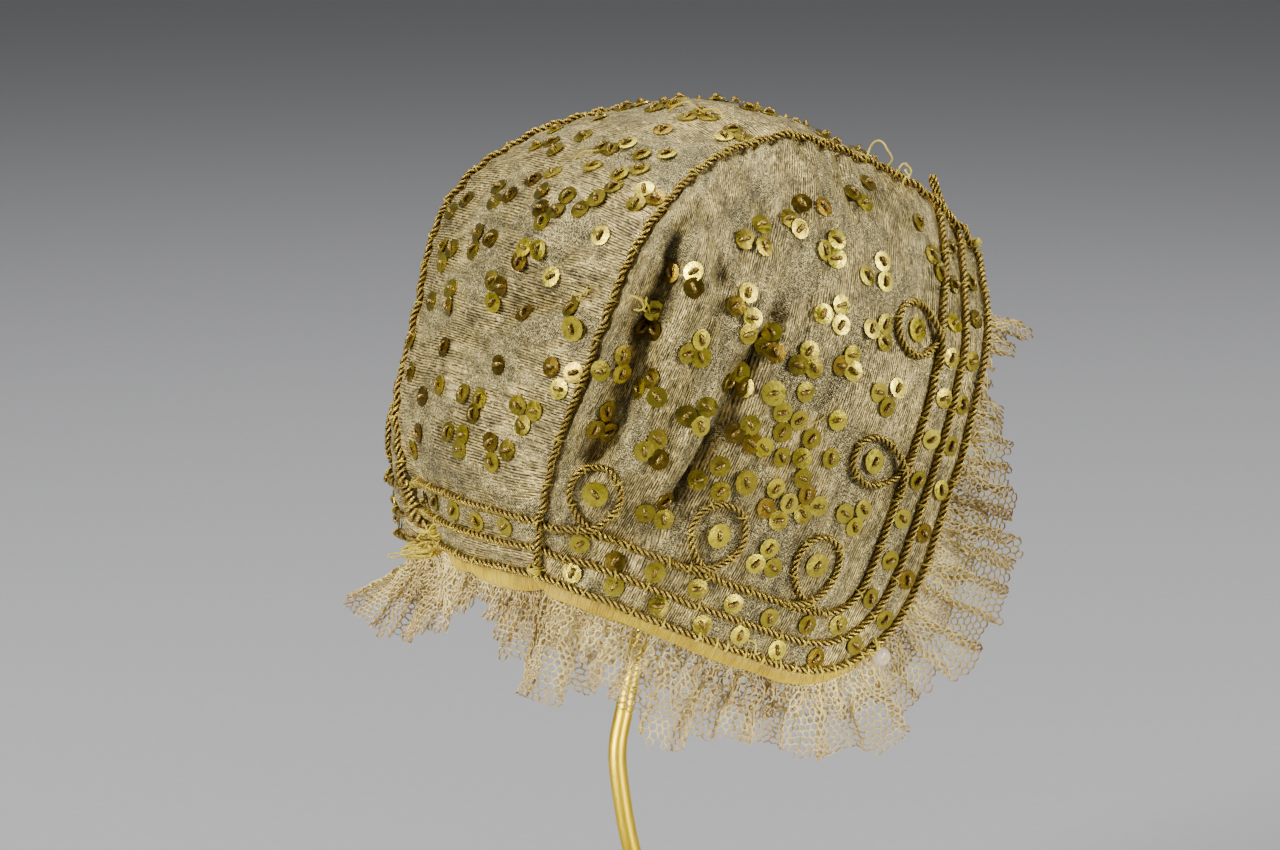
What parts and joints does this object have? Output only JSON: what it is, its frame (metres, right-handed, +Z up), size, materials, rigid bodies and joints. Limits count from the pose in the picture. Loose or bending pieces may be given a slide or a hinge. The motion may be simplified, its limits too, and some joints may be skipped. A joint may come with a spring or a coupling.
{
  "type": "baby bonnet on a wire stand",
  "caption": "Baby bonnet of metal-thread silk with couched cord, spangles, yellow lining and a net frill, held up by a brass rod stand with a round foot.",
  "frame": {"origin": "the middle of the stand foot's underside", "axes": "+Z up; the face opening looks towards -Y and the wearer's right is at -X"},
  "size_m": [0.1248, 0.1409, 0.2499],
  "materials": {
    "metal_thread_silk": "silver-taupe ribbed silk woven with tarnished metal thread",
    "yellow_silk": "plain yellow silk",
    "gold_cord": "plied and twisted gilt thread, browned",
    "gilt_spangle": "flat gilt spangles, olive with tarnish",
    "cotton_net": "cream machine net, browned at its free edge",
    "pearl_bead": "small pale bead button",
    "brass": "satin brass"
  },
  "bodies": {
    "root": {"crown_strip": "metal_thread_silk", "side_panel_right": "metal_thread_silk", "side_panel_left": "metal_thread_silk", "lining": "yellow_silk", "seam_cord_right": "gold_cord", "seam_cord_left": "gold_cord", "edge_cord": "gold_cord", "middle_cord": "gold_cord", "inner_cord": "gold_cord", "ring_cord_1": "gold_cord", "ring_cord_2": "gold_cord", "ring_cord_3": "gold_cord", "ring_cord_4": "gold_cord", "ring_cord_5": "gold_cord", "ring_cord_6": "gold_cord", "ring_cord_7": "gold_cord", "ring_cord_8": "gold_cord", "ring_cord_9": "gold_cord", "ring_cord_10": "gold_cord", "ring_spangle_1": "gilt_spangle", "ring_spangle_2": "gilt_spangle", "ring_spangle_3": "gilt_spangle", "ring_spangle_4": "gilt_spangle", "ring_spangle_5": "gilt_spangle", "ring_spangle_6": "gilt_spangle", "ring_spangle_7": "gilt_spangle", "ring_spangle_8": "gilt_spangle", "ring_spangle_9": "gilt_spangle", "ring_spangle_10": "gilt_spangle", "net_ruffle": "cotton_net", "corner_button": "pearl_bead", "stand_foot": "brass", "stand_rod": "brass", "stand_rest": "brass"}
  },
  "joints": []
}
